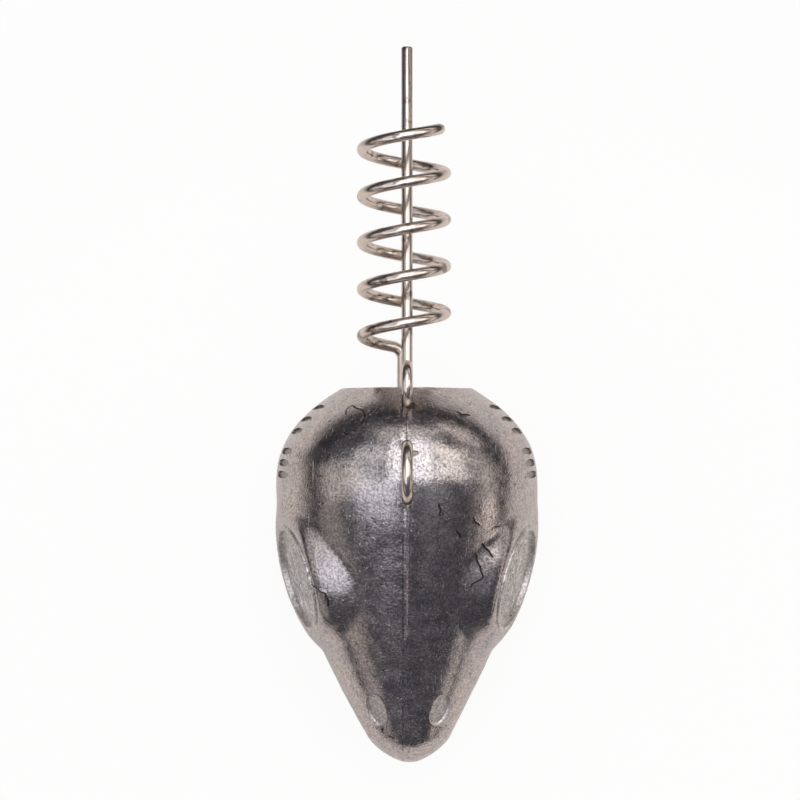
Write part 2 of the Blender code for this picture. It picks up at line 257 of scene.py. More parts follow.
def ring_stations():
    """Each ring's distance from the seat: close together on the dome and the nose."""
    nose = HEAD_LENGTH - NOSE_ROUNDING
    for i in range(1, RINGS_ON_DOME):
        yield GIRTH_FROM_SEAT * (i / RINGS_ON_DOME) ** DOME_CROWDING
    for i in range(RINGS_ON_FACE):
        yield GIRTH_FROM_SEAT + (nose - GIRTH_FROM_SEAT) * i / RINGS_ON_FACE
    for i in range(RINGS_ON_NOSE):
        yield nose + NOSE_ROUNDING * math.sin(math.pi / 2 * i / RINGS_ON_NOSE)


def ring_angles():
    """From the keel to the crown, where three closer columns take the flash line."""
    step = math.pi / STEPS_ROUND_HALF
    regular = [-math.pi / 2 + step * i for i in range(STEPS_ROUND_HALF)]
    return [*regular, *(math.pi / 2 - step * share for share in FLASH_COLUMNS), math.pi / 2]


def on_side(point, side):
    """A point of the right side, kept there (1) or mirrored to the left (-1).

    The two halves of the mould met a hair out of line, so the nose leans to the right.
    """
    share = min(1.0, max(0.0, (-point.y - NOSE_SKEW_FROM) / (HEAD_LENGTH - NOSE_SKEW_FROM)))
    return Vector((side * point.x + NOSE_SKEW * share * share, point.y, point.z))


def gate_level(point):
    """Height of the flat that is left by the gate, rough where the lead was sheared."""
    shear = noise.noise(Vector((point.x * SHEAR_WAVES[0], point.y * SHEAR_WAVES[1], 0.0)))
    return GATE_FLAT_DEPTH - BELLY_DEPTH + SHEAR_HEIGHT * (1 + shear)


def head_mesh():
    """Rings of points from the middle of the seat to the tip of the nose, right and left."""
    angles = ring_angles()
    rings = []
    for i in range(1, RINGS_ON_SEAT + 1):
        rings.append([head_point(0.0, angle) * (i / RINGS_ON_SEAT) for angle in angles])
    for back in ring_stations():
        ring = [head_point(back, angle) for angle in angles]
        if back < EYE_FROM_SEAT + EYE_RING_DIAMETER / 2:
            ring[-1].z += FLASH_HEIGHT
            ring[-2].z += FLASH_HEIGHT / 2
        for point in ring:
            point.z = max(point.z, gate_level(point))
        rings.append(ring)
    bm = bmesh.new()
    first = bm.verts.new((0.0, 0.0, 0.0))
    tip = bm.verts.new(on_side(Vector((0.0, -HEAD_LENGTH, -NOSE_DROP)), 1))
    loops = []
    for ring in rings:
        right = [bm.verts.new(on_side(point, 1)) for point in ring]
        left = [bm.verts.new(on_side(point, -1)) for point in ring[1:-1]]
        loops.append([*right, *left[::-1]])
    count = len(loops[0])
    for i in range(count):
        after = (i + 1) % count
        bm.faces.new((first, loops[0][after], loops[0][i]))
        bm.faces.new((loops[-1][i], loops[-1][after], tip))
        for ring, following in zip(loops, loops[1:]):
            bm.faces.new((ring[i], ring[after], following[after], following[i]))
    bmesh.ops.recalc_face_normals(bm, faces=bm.faces)
    mesh = bpy.data.meshes.new("head_casting_cast")
    bm.to_mesh(mesh)
    bm.free()
    return mesh


def add_piece(name, mesh):
    made = bpy.data.objects.new(name, mesh)
    bpy.context.scene.collection.objects.link(made)
    return made


def turned_discs(name, profile):
    """A closed body turned from (radius, height) points, round the right eye, and its twin."""
    bm = bmesh.new()
    turn = eye_facing.to_track_quat("Z", "Y").to_matrix().to_4x4()
    for side in (1, -1):
        rings = []
        for radius, height in profile:
            ring = []
            for i in range(STEPS_ROUND_DISC):
                around = 2 * math.pi * i / STEPS_ROUND_DISC
                spot = Vector((radius * math.cos(around), radius * math.sin(around), height))
                ring.append(bm.verts.new(on_side(eye_middle + turn @ spot, side)))
            rings.append(ring)
        for ring, following in zip(rings, rings[1:]):
            for i in range(STEPS_ROUND_DISC):
                after = (i + 1) % STEPS_ROUND_DISC
                bm.faces.new((ring[i], ring[after], following[after], following[i]))
        bm.faces.new(rings[0][::-1])
        bm.faces.new(rings[-1])
    bmesh.ops.recalc_face_normals(bm, faces=bm.faces)
    mesh = bpy.data.meshes.new(name)
    bm.to_mesh(mesh)
    bm.free()
    return add_piece(name, mesh)


def boss_profile():
    """A low round boss with a rolled edge, which sinks into the cheek."""
    radius = EYE_RING_DIAMETER / 2
    steps = 6
    points = [(radius, -EYE_BOSS_ROOT)]
    for i in range(steps + 1):
        turn = math.pi / 2 * i / steps
        across = radius - EYE_BOSS_ROLL + EYE_BOSS_ROLL * math.cos(turn)
        points.append((across, -EYE_BOSS_ROLL + EYE_BOSS_ROLL * math.sin(turn)))
    points.append((EYE_FLOOR_DIAMETER / 4, 0.0))
    return points


def socket_profile():
    """The socket's flat floor, the small fillet round it, and its wall."""
    radius = EYE_FLOOR_DIAMETER / 2
    fillet = EYE_SOCKET_FILLET
    steps = 4
    points = [(radius / 3, -EYE_SOCKET_DEPTH), (radius * 2 / 3, -EYE_SOCKET_DEPTH)]
    for i in range(steps + 1):
        turn = math.pi / 2 * i / steps
        across = radius - fillet + fillet * math.sin(turn)
        points.append((across, -EYE_SOCKET_DEPTH + fillet - fillet * math.cos(turn)))
    rise = EYE_SOCKET_DEPTH + EYE_CUTTER_RISE
    points.append((radius + rise * math.tan(EYE_SOCKET_DRAFT), EYE_CUTTER_RISE))
    return points


def rib_path(side, offset):
    """A straight run on the socket's floor, along the head, that keys the glue under the eye."""
    along = Vector((0.0, 0.0, 1.0)).cross(eye_facing).normalized()
    upward = eye_facing.cross(along)
    rise = RIB_HEIGHT - EYE_SOCKET_DEPTH - RIB_DIAMETER / 2
    middle = eye_middle + eye_facing * rise + upward * offset
    half = math.sqrt(RIB_REACH**2 - offset**2)
    path = []
    for i in range(RIB_POINTS):
        spot = Vector((i, offset, side)) * Vector(RIB_NOISE_STEPS)
        wander = noise.noise(spot) * RIB_WANDER
        point = middle + along * (half * (2 * i / (RIB_POINTS - 1) - 1)) + eye_facing * wander
        path.append(on_side(point, side))
    return path


def to_linear(code):
    """An sRGB hex colour as linear red, green, blue and alpha."""
    shares = [int(code[i : i + 2], 16) / 255 for i in (1, 3, 5)]
    return [*(s / 12.92 if s <= 0.04045 else ((s + 0.055) / 1.055) ** 2.4 for s in shares), 1.0]


def add(tree, kind, inputs=None, **settings):
    """Adds a node; an input is a value, a socket to link, or a node to link by its first output."""
    node = tree.nodes.new(kind)
    for name, value in settings.items():
        setattr(node, name, value)
    for key, value in (inputs or {}).items():
        if isinstance(value, bpy.types.Node):
            value = value.outputs[0]
        if isinstance(value, bpy.types.NodeSocket):
            tree.links.new(value, node.inputs[key])
        else:
            node.inputs[key].default_value = value
    return node


def new_tree(name, inputs):
    """A Geometry Nodes tree with a geometry input, the named inputs and a geometry output."""
    tree = bpy.data.node_groups.new(name, "GeometryNodeTree")
    tree.interface.new_socket("Geometry", in_out="INPUT", socket_type="NodeSocketGeometry")
    for title, kind in inputs.items():
        tree.interface.new_socket(title, in_out="INPUT", socket_type="NodeSocket" + kind)
    tree.interface.new_socket("Geometry", in_out="OUTPUT", socket_type="NodeSocketGeometry")
    return tree, tree.nodes.new("NodeGroupInput").outputs, tree.nodes.new("NodeGroupOutput")


def run_tree(made, tree, values):
    """Puts a tree on an object with its named inputs set."""
    modifier = made.modifiers.new(tree.name, "NODES")
    modifier.node_group = tree
    for item in tree.interface.items_tree:
        if item.in_out == "INPUT" and item.name in values:
            modifier[item.identifier] = values[item.name]


def baked(made):
    """Turns what the modifiers make into the object's own plain mesh."""
    evaluated = made.evaluated_get(bpy.context.evaluated_depsgraph_get())
    mesh = bpy.data.meshes.new_from_object(evaluated)
    made.modifiers.clear()
    made.data = mesh


def pockets_tree():
    """Geometry Nodes that lay a flat-floored pocket on each point, turned to the skin there."""
    inputs = {"Segments": "Int", "Floor": "Float", "Metal": "Material"}
    tree, given, out = new_tree("pockets in the skin", inputs)
    read = {}
    for name in ("outward", "along", "size"):
        read[name] = add(
            tree, "GeometryNodeInputNamedAttribute", {"Name": name}, data_type="FLOAT_VECTOR"
        )
    stood = add(tree, "FunctionNodeAlignRotationToVector", {"Vector": read["outward"]}, axis="Z")
    turned = add(
        tree,
        "FunctionNodeAlignRotationToVector",
        {"Rotation": stood, "Vector": read["along"]},
        axis="X",
        pivot_axis="Z",
    )
    ball = add(
        tree,
        "GeometryNodeMeshUVSphere",
        {"Segments": given["Segments"], "Rings": 24, "Radius": 1.0},
    )
    spot = add(tree, "ShaderNodeSeparateXYZ", {0: add(tree, "GeometryNodeInputPosition")})
    low = add(tree, "ShaderNodeMath", {0: 0.0, 1: given["Floor"]}, operation="SUBTRACT")
    level = add(
        tree,
        "ShaderNodeMapRange",
        {0: spot.outputs[2], 1: low, 2: given["Floor"], 3: -1.0, 4: 1.0},
    )
    flat = add(tree, "ShaderNodeCombineXYZ", {0: spot.outputs[0], 1: spot.outputs[1], 2: level})
    pocket = add(tree, "GeometryNodeSetPosition", {"Geometry": ball, "Position": flat})
    laid = add(
        tree,
        "GeometryNodeInstanceOnPoints",
        {
            "Points": given["Geometry"],
            "Instance": pocket,
            "Rotation": turned,
            "Scale": read["size"],
        },
    )
    real = add(tree, "GeometryNodeRealizeInstances", {0: laid})
    metal = add(tree, "GeometryNodeSetMaterial", {0: real, "Material": given["Metal"]})
    tree.links.new(metal.outputs[0], out.inputs[0])
    return tree


def nostril_spots():
    """One nostril on each cheek: its place, its size and the sides that it is on."""
    tilt = Matrix.Rotation(-NOSTRIL_TILT, 4, "X")
    return [(surface_frame(NOSTRIL_FROM_SEAT, NOSTRIL_ANGLE) @ tilt, NOSTRIL_SIZE, (1, -1))]


def dimple_spots():
    """Two short rows of dimples on each cheek."""
    spots = []
    for start in DIMPLE_ROWS_FROM_SEAT:
        for i in range(DIMPLES_IN_ROW):
            place = surface_frame(start + i * DIMPLE_PITCH, DIMPLE_ANGLE)
            spots.append((place, DIMPLE_SIZE, (1, -1)))
    return spots


def chip_spots():
    """Small chips beside the feet of the two eyes, each on one side only."""
    spots = []
    for back, across, size in CHIPS:
        place = surface_frame(back, math.pi / 2 - abs(across) / CROWN_HEIGHT)
        spots.append((place, size, (math.copysign(1.0, across),)))
    return spots


def pocket_points(spots):
    """A point for each pocket, with the way it faces, the way it lies and its size."""
    mesh = bpy.data.meshes.new("pocket points")
    places, outwards, alongs, sizes = [], [], [], []
    for place, (length, width, depth), sides in spots:
        for side in sides:
            mirror = Matrix.Diagonal((side, 1.0, 1.0))
            places.append(on_side(place.translation, side))
            outwards.extend(mirror @ place.col[2].to_3d())
            alongs.extend(mirror @ place.col[0].to_3d())
            sizes.extend((length / 2, width / 2, depth))
    mesh.from_pydata(places, [], [])
    for name, values in (("outward", outwards), ("along", alongs), ("size", sizes)):
        mesh.attributes.new(name, "FLOAT_VECTOR", "POINT").data.foreach_set("vector", values)
    return mesh


def sweep_tree():
    """Geometry Nodes that sweep a round section along a path, with its two ends eased."""
    inputs = {"Diameter": "Float", "Sides": "Int", "End Easing": "Float", "Metal": "Material"}
    tree, given, out = new_tree("round sweep", inputs)
    curve = add(tree, "GeometryNodeMeshToCurve", {"Mesh": given["Geometry"]})
    run = add(tree, "GeometryNodeSplineParameter").outputs["Length"]
    whole = add(tree, "GeometryNodeSplineLength").outputs["Length"]
    rest = add(tree, "ShaderNodeMath", {0: whole, 1: run}, operation="SUBTRACT")
    nearest = add(tree, "ShaderNodeMath", {0: run, 1: rest}, operation="MINIMUM")
    width = add(
        tree,
        "ShaderNodeMapRange",
        {0: nearest, 1: 0.0, 2: given["End Easing"], 3: 0.8, 4: 1.0},
        interpolation_type="SMOOTHSTEP",
    )
    kept = add(tree, "GeometryNodeCaptureAttribute", {"Geometry": curve})
    kept.capture_items.new("FLOAT", "run")
    tree.links.new(run, kept.inputs[1])
    half = add(tree, "ShaderNodeMath", {0: given["Diameter"], 1: 0.5}, operation="MULTIPLY")
    ring = add(
        tree,
        "GeometryNodeCurvePrimitiveCircle",
        {"Resolution": given["Sides"], "Radius": half},
        mode="RADIUS",
    )
    section = add(tree, "GeometryNodeCaptureAttribute", {"Geometry": ring})
    section.capture_items.new("VECTOR", "section")
    tree.links.new(add(tree, "GeometryNodeInputPosition").outputs[0], section.inputs[1])
    swept = add(
        tree,
        "GeometryNodeCurveToMesh",
        {"Curve": kept, "Profile Curve": section, "Scale": width, "Fill Caps": True},
    )
    spot = add(tree, "ShaderNodeSeparateXYZ", {0: section.outputs[1]}).outputs
    drawn = add(tree, "ShaderNodeCombineXYZ", {0: spot[0], 1: spot[1], 2: kept.outputs[1]})
    marked = add(
        tree,
        "GeometryNodeStoreNamedAttribute",
        {"Geometry": swept, "Name": "draw", "Value": drawn},
        data_type="FLOAT_VECTOR",
        domain="POINT",
    )
    smooth = add(tree, "GeometryNodeSetShadeSmooth", {0: marked})
    real = add(tree, "GeometryNodeRealizeInstances", {0: smooth})
    metal = add(tree, "GeometryNodeSetMaterial", {0: real, "Material": given["Metal"]})
    tree.links.new(metal.outputs[0], out.inputs[0])
    return tree


def path_mesh(name, *paths):
    """Edges along each path, for the sweep."""
    points, edges = [], []
    for path in paths:
        edges.extend((len(points) + i, len(points) + i + 1) for i in range(len(path) - 1))
        points.extend(path)
    mesh = bpy.data.meshes.new(name)
    mesh.from_pydata(points, edges, [])
    return mesh


def mouth_path():
    """Along the left cheek to the nose and back along the right one."""
    right = []
    for i in range(GROOVE_POINTS):
        share = math.sin(math.pi / 2 * i / (GROOVE_POINTS - 1))
        back = HEAD_LENGTH - MOUTH_LENGTH * (1 - share)
        right.append(head_point(back, MOUTH_DROOP * (1 - MOUTH_RISE * share)))
    left = [on_side(point, -1) for point in right[:-1]]
    return [*left, *(on_side(point, 1) for point in right[::-1])]


def gill_path(side):
    """A bow down a cheek, behind the eye."""
    path = []
    for i in range(GROOVE_POINTS):
        share = i / (GROOVE_POINTS - 1)
        angle = GILL_TOP_ANGLE + (GILL_LOW_ANGLE - GILL_TOP_ANGLE) * share
        point = head_point(GILL_FROM_SEAT + GILL_BOW * (2 * share - 1) ** 2, angle)
        path.append(on_side(point, side))
    return path


def crease_path(back, across, heading, length, curl):
    """A wandering fold in the skin, where the lead met lead that had already chilled."""
    path = []
    for i in range(round(length / CREASE_STEP)):
        point = head_point(back, math.acos(min(1.0, abs(across) / half_width(back))))
        path.append(on_side(point, math.copysign(1.0, across)))
        bend = noise.noise(Vector((back * CREASE_WAVES, across * CREASE_WAVES, 0.0)))
        way = math.radians(heading) + curl * i * CREASE_STEP * 1000 + CREASE_WANDER * bend
        back += CREASE_STEP * math.cos(way)
        across += CREASE_STEP * math.sin(way)
    return path


def skin_tree():
    """Geometry Nodes for the cast skin: slow ripples where the lead chilled, and fine grain."""
    inputs = {
        "Ripple Height": "Float",
        "Ripple Size": "Float",
        "Grain Height": "Float",
        "Grain Size": "Float",
        "Skin": "Material",
    }
    tree, given, out = new_tree("cast skin", inputs)
    place = add(tree, "GeometryNodeInputPosition").outputs[0]
    depths = []
    for name, detail in (("Ripple", 2.0), ("Grain", 1.0)):
        size = given[name + " Size"]
        scale = add(tree, "ShaderNodeMath", {0: 1.0, 1: size}, operation="DIVIDE")
        noise_inputs = {"Vector": place, "Scale": scale, "Detail": detail}
        waves = add(tree, "ShaderNodeTexNoise", noise_inputs)
        sunk = add(tree, "ShaderNodeMapRange", {0: waves, 1: 0.25, 2: 0.75, 3: -1.0, 4: 0.0})
        height = given[name + " Height"]
        depths.append(add(tree, "ShaderNodeMath", {0: sunk, 1: height}, operation="MULTIPLY"))
    total = add(tree, "ShaderNodeMath", {0: depths[0], 1: depths[1]}, operation="ADD")
    outward = add(tree, "GeometryNodeInputNormal")
    offset = add(tree, "ShaderNodeVectorMath", {0: outward, "Scale": total}, operation="SCALE")
    moved = add(tree, "GeometryNodeSetPosition", {0: given["Geometry"], "Offset": offset})
    real = add(tree, "GeometryNodeRealizeInstances", {0: moved})
    skin = add(tree, "GeometryNodeMaterialSelection", {"Material": given["Skin"]})
    metal_inputs = {0: real, "Selection": skin, "Material": given["Skin"]}
    metal = add(tree, "GeometryNodeSetMaterial", metal_inputs)
    tree.links.new(metal.outputs[0], out.inputs[0])
    return tree


def per_mm(size):
    """Scale of a pattern whose features are that many millimetres across."""
    return 1000.0 / size


def oval(tree, place, middle, size):
    """Distance from the middle of an oval, where 1 is its edge; sizes are half its lengths."""
    spot = add(
        tree,
        "ShaderNodeMapping",
        {
            "Vector": place,
            "Location": [-centre / half for centre, half in zip(middle, size)],
            "Scale": [1 / half for half in size],
        },
    )
    return add(tree, "ShaderNodeVectorMath", {0: spot}, operation="LENGTH").outputs["Value"]


# Lines along the flash, to the right of the middle plane (a painted highlight) or left of it (a
# burnt line), and the painted glint behind the line eye
RIDGE_OFFSET = 0.00008
RIDGE_HALF_WIDTH = 0.00008
RIDGE_FROM_SEAT = 0.0104
RIDGE_FADES_FROM_SEAT = 0.0165
RIDGE_ENDS_FROM_SEAT = 0.0225
BURNT_LINE_OFFSET = -0.00036
BURNT_LINE_HALF_WIDTH = 0.00007
BURNT_LINE_FROM_SEAT = 0.0130
GLINT_MIDDLE = (-0.0002, -0.0042, 0.0116)
GLINT_SIZE = (0.00042, 0.00075, 0.0040)


def cast_lead(name, dark, light, roughness, grain_depth):
    """Bare lead under a thin oxide skin, tumbled until it shines in patches.

    The skin is blue-grey to brown-grey and sandy all over, with short dark wrinkles where the
    metal chilled, small pits, stray bright specks and the scratches of handling. The real grit
    and scratches are finer than can be seen from here, so both are drawn coarser.
    """
    made = bpy.data.materials.new(name)
    made.use_nodes = True
    tree = made.node_tree
    shader = tree.nodes["Principled BSDF"]
    shader.inputs["Metallic"].default_value = 1.0
    place = add(tree, "ShaderNodeTexCoord").outputs["Object"]

    cloud = add(
        tree,
        "ShaderNodeTexNoise",
        {"Vector": place, "Scale": per_mm(5.0), "Detail": 3.0, "Distortion": 0.6},
    )
    mottle = add(
        tree,
        "ShaderNodeTexNoise",
        {"Vector": place, "Scale": per_mm(1.1), "Detail": 4.0, "Distortion": 0.4},
    )
    grain = add(tree, "ShaderNodeTexNoise", {"Vector": place, "Scale": per_mm(0.21), "Detail": 2.0})

    # Wrinkles: short, thin, winding lines, in a few places only
    field = add(
        tree,
        "ShaderNodeTexNoise",
        {"Vector": place, "Scale": per_mm(0.75), "Detail": 1.0, "Distortion": 1.2},
    )
    line = add(tree, "ShaderNodeMath", {0: field, 1: 0.5, 2: 0.020}, operation="COMPARE")
    breaks = add(tree, "ShaderNodeTexNoise", {"Vector": place, "Scale": per_mm(0.55)})
    breaks = add(tree, "ShaderNodeMapRange", {0: breaks, 1: 0.50, 2: 0.54})
    zone = add(tree, "ShaderNodeTexNoise", {"Vector": place, "Scale": per_mm(3.0), "Detail": 2.0})
    zone = add(tree, "ShaderNodeMapRange", {0: zone, 1: 0.48, 2: 0.54})
    wrinkle = add(tree, "ShaderNodeMath", {0: line, 1: zone}, operation="MULTIPLY")
    wrinkle = add(tree, "ShaderNodeMath", {0: wrinkle, 1: breaks}, operation="MULTIPLY")

    # Pits and specks: the middles of random cells
    holes = add(tree, "ShaderNodeTexVoronoi", {"Vector": place, "Scale": per_mm(1.4)})
    pit = add(tree, "ShaderNodeMapRange", {0: holes, 1: 0.04, 2: 0.09, 3: 1.0, 4: 0.0})
    dots = add(tree, "ShaderNodeTexVoronoi", {"Vector": place, "Scale": per_mm(1.1)})
    speck = add(tree, "ShaderNodeMapRange", {0: dots, 1: 0.05, 2: 0.09, 3: 1.0, 4: 0.0})

    # Scratches: noise drawn out along two slanting directions
    scratch = 0.0
    for turn, seed in ((35.0, 0.0), (-50.0, 0.37)):
        drawn = add(
            tree,
            "ShaderNodeMapping",
            {
                "Vector": place,
                "Location": (seed, seed, 0.0),
                "Rotation": (0.0, 0.0, math.radians(turn)),
                "Scale": (1.0, 0.035, 0.3),
            },
        )
        streak = add(
            tree, "ShaderNodeTexNoise", {"Vector": drawn, "Scale": per_mm(0.16), "Detail": 0.0}
        )
        thin = add(tree, "ShaderNodeMapRange", {0: streak, 1: 0.76, 2: 0.84, 3: 0.0, 4: 1.0})
        scratch = add(tree, "ShaderNodeMath", {0: scratch, 1: thin}, operation="MAXIMUM")

    # Flash: a painted highlight along its ridge, with a brown line of burnt mould coating beside it
    spot = add(tree, "ShaderNodeSeparateXYZ", {0: place}).outputs
    lines = []
    for middle, half, from_seat in (
        (RIDGE_OFFSET, RIDGE_HALF_WIDTH, RIDGE_FROM_SEAT),
        (BURNT_LINE_OFFSET, BURNT_LINE_HALF_WIDTH, BURNT_LINE_FROM_SEAT),
    ):
        band = add(tree, "ShaderNodeMath", {0: spot["X"], 1: middle, 2: half}, operation="COMPARE")
        start = add(tree, "ShaderNodeMath", {0: spot["Y"], 1: -from_seat}, operation="LESS_THAN")
        lines.append(add(tree, "ShaderNodeMath", {0: band, 1: start}, operation="MULTIPLY"))
    ridge_highlight, burnt = lines
    fade_inputs = {0: spot["Y"], 1: -RIDGE_ENDS_FROM_SEAT, 2: -RIDGE_FADES_FROM_SEAT}
    fade = add(tree, "ShaderNodeMapRange", fade_inputs)
    ridge_highlight = add(tree, "ShaderNodeMath", {0: ridge_highlight, 1: fade}, operation="MULTIPLY")
    patches = add(tree, "ShaderNodeMapRange", {0: mottle, 1: 0.44, 2: 0.56, 3: 0.0, 4: 0.7})
    burnt = add(tree, "ShaderNodeMath", {0: burnt, 1: patches}, operation="MULTIPLY")

    # Painted glint: a small bright spot behind the line eye, a painted highlight in place of the
    # light off the crown
    glint_distance = oval(tree, place, GLINT_MIDDLE, GLINT_SIZE)
    painted_glint = add(tree, "ShaderNodeMapRange", {0: glint_distance, 1: 0.8, 2: 1.2, 3: 1.0, 4: 0.0})

    # Colour: a colour Mix has its two colours on inputs 6 and 7 and its result on output 2
    tone = add(
        tree, "ShaderNodeMix", {0: cloud, 6: to_linear(dark), 7: to_linear(light)}, data_type="RGBA"
    ).outputs[2]
    tone = add(
        tree, "ShaderNodeMix", {0: burnt, 6: tone, 7: to_linear("#5a4640")}, data_type="RGBA"
    ).outputs[2]
    # Each mark, the range of its mask, and how much it dims or brightens the tone at both ends
    for mask, at_low, at_high, low, high in (
        (grain, 0.38, 0.62, 0.74, 1.22),
        (mottle, 0.30, 0.70, 0.84, 1.12),
        (wrinkle, 0.0, 1.0, 1.0, 0.40),
        (pit, 0.0, 1.0, 1.0, 0.55),
        (speck, 0.0, 1.0, 1.0, 1.5),
        (ridge_highlight, 0.0, 1.0, 1.0, 1.6),
        (painted_glint, 0.0, 1.0, 1.0, 1.7),
    ):
        level = add(tree, "ShaderNodeMapRange", {0: mask, 1: at_low, 2: at_high, 3: low, 4: high})
        tone = add(tree, "ShaderNodeVectorMath", {0: tone, "Scale": level}, operation="SCALE")
    tree.links.new(tone.outputs[0], shader.inputs["Base Color"])

    dull = add(
        tree,
        "ShaderNodeMapRange",
        {0: mottle, 1: 0.3, 2: 0.7, 3: roughness - 0.05, 4: roughness + 0.05},
    )
    tree.links.new(dull.outputs[0], shader.inputs["Roughness"])

    # Relief: the grain, and how far each mark stands out of it or goes in, in shares of its depth
    height = grain
    for mask, rise in ((mottle, 0.5), (wrinkle, -1.2), (pit, -0.8), (speck, 0.8), (scratch, -0.7)):
        step = add(tree, "ShaderNodeMath", {0: mask, 1: rise}, operation="MULTIPLY")
        height = add(tree, "ShaderNodeMath", {0: height, 1: step}, operation="ADD")
    bump = add(tree, "ShaderNodeBump", {"Height": height, "Strength": 1.0, "Distance": grain_depth})
    tree.links.new(bump.outputs[0], shader.inputs["Normal"])
    return made


cutters = []


def boolean(target, other, operation):
    """Joins the other solid or cuts with it; the faces that it makes keep its material."""
    modifier = target.modifiers.new(other.name, "BOOLEAN")
    modifier.operation = operation
    modifier.object = other
    modifier.material_mode = "TRANSFER"
    cutters.append(other)


tumbled = cast_lead("cast lead, tumbled", "#a2a0a4", "#cbbfb6", 0.22, 0.000015)
as_cast = cast_lead("cast lead, as cast", "#c4c1be", "#d8d2cc", 0.50, 0.00004)
# Painted shade: this lead is darker, so the dimples and chips cut with it read as shaded hollows
in_shadow = cast_lead("cast lead, painted shade in the hollows", "#88827d", "#a8a09a", 0.36, 0.00004)
# Painted shade: this lead is near black, so the creases cut with it read as shaded grooves
crease_shade = cast_lead("cast lead, painted shade in the folds", "#383431", "#524b47", 0.50, 0.00004)
round_sweep = sweep_tree()

head = add_piece("lead_head", head_mesh())
head.data.materials.append(tumbled)
boss = turned_discs("boss", boss_profile())
boss.data.materials.append(as_cast)
boolean(head, boss, "UNION")
socket = turned_discs("socket", socket_profile())
socket.data.materials.append(as_cast)
boolean(head, socket, "DIFFERENCE")
pocket = pockets_tree()
for pocket_name, spots, metal in (
    ("nostrils", nostril_spots(), as_cast),
    ("dimples and chips", dimple_spots() + chip_spots(), in_shadow),
):
    pockets = add_piece(pocket_name, pocket_points(spots))
    run_tree(pockets, pocket, {"Segments": 48, "Floor": 0.35, "Metal": metal})
    baked(pockets)
    boolean(head, pockets, "DIFFERENCE")
ribs = [rib_path(side, offset) for side in (1, -1) for offset in RIB_OFFSETS]
grooves = [mouth_path(), gill_path(1), gill_path(-1)]
creases = [crease_path(*crease) for crease in CREASES]
for swept_name, paths, diameter, easing, metal, operation in (
    ("ribs", ribs, RIB_DIAMETER, 0.0004, as_cast, "UNION"),
    ("mouth and gills", grooves, 2 * GROOVE_DEPTH, 0.0010, as_cast, "DIFFERENCE"),
    ("creases", creases, CREASE_WIDTH, 0.0003, crease_shade, "DIFFERENCE"),
):
    swept = add_piece(swept_name, path_mesh(swept_name, *paths))
    sizes = {"Diameter": diameter, "Sides": 12, "End Easing": easing, "Metal": metal}
    run_tree(swept, round_sweep, sizes)
    baked(swept)
    boolean(head, swept, operation)
baked(head)
for cutter in cutters:
    bpy.data.objects.remove(cutter)
skin_sizes = {
    "Ripple Height": 0.00006,
    "Ripple Size": 0.0030,
    "Grain Height": 0.00001,
    "Grain Size": 0.0007,
    "Skin": tumbled,
}
run_tree(head, skin_tree(), skin_sizes)
baked(head)
head.data.shade_smooth()
head.data.set_sharp_from_angle(angle=math.radians(28))
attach(head, "root")
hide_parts("head_casting")


# Centre pin: a straight length of hard-drawn stainless spring wire, on the axis of the screw. It
# is cut off square at its tip, and its other end is cast into the lead.
WIRE_DIAMETER = 0.0010
WIRE_SIDES = 24
PIN_RISE = 0.00185
PIN_LENGTH = 0.0304
PIN_ANCHOR = 0.0090
BEND_RADIUS = 0.0011
BEND_STEP = math.radians(6.0)
HOOK_LENGTH = 0.0024
END_EASING = 0.00012


def rounded_path(corners, radius):
    """The line through the corners, with an arc of the radius at each inner one."""
    path = [corners[0]]
    for before, corner, after in zip(corners, corners[1:], corners[2:]):
        arriving = (corner - before).normalized()
        leaving = (after - corner).normalized()
        turn = arriving.angle(leaving)
        middle = corner + (leaving - arriving).normalized() * (radius / math.cos(turn / 2))
        first = corner - arriving * (radius * math.tan(turn / 2)) - middle
        axis = arriving.cross(leaving)
        steps = max(2, round(turn / BEND_STEP))
        for i in range(steps + 1):
            spot = middle + Matrix.Rotation(turn * i / steps, 3, axis) @ first
            if (spot - path[-1]).length > WIRE_DIAMETER / 50:
                path.append(spot)
    path.append(corners[-1])
    return path


def spring_steel():
    """Stainless spring wire, drawn cold through dies: bright, warm, and stained here and there.

    The lines along it are drawn coarser than the real ones, which are too fine to see.
    """
    made = bpy.data.materials.new("stainless spring wire, drawn")
    made.use_nodes = True
    tree = made.node_tree
    shader = tree.nodes["Principled BSDF"]
    shader.inputs["Metallic"].default_value = 1.0
    drawn = add(tree, "ShaderNodeAttribute", attribute_name="draw").outputs["Vector"]
    stretched = add(tree, "ShaderNodeMapping", {"Vector": drawn, "Scale": (1.0, 1.0, 0.06)})
    lines = add(
        tree, "ShaderNodeTexNoise", {"Vector": stretched, "Scale": per_mm(0.12), "Detail": 2.0}
    )
    stain = add(tree, "ShaderNodeTexNoise", {"Vector": drawn, "Scale": per_mm(1.4), "Detail": 3.0})
    tone = add(
        tree,
        "ShaderNodeMix",
        {0: stain, 6: to_linear("#c4b8ae"), 7: to_linear("#e6dacf")},
        data_type="RGBA",
    )
    old = add(tree, "ShaderNodeMapRange", {0: stain, 1: 0.58, 2: 0.66, 3: 0.0, 4: 0.75})
    tone = add(
        tree,
        "ShaderNodeMix",
        {0: old, 6: tone.outputs[2], 7: to_linear("#6a5e55")},
        data_type="RGBA",
    )
    tree.links.new(tone.outputs[2], shader.inputs["Base Color"])
    rough = add(tree, "ShaderNodeMapRange", {0: lines, 1: 0.3, 2: 0.7, 3: 0.16, 4: 0.26})
    tree.links.new(rough.outputs[0], shader.inputs["Roughness"])
    bump = add(tree, "ShaderNodeBump", {"Height": lines, "Strength": 0.2, "Distance": 0.00002})
    tree.links.new(bump.outputs[0], shader.inputs["Normal"])
    return made


steel = spring_steel()


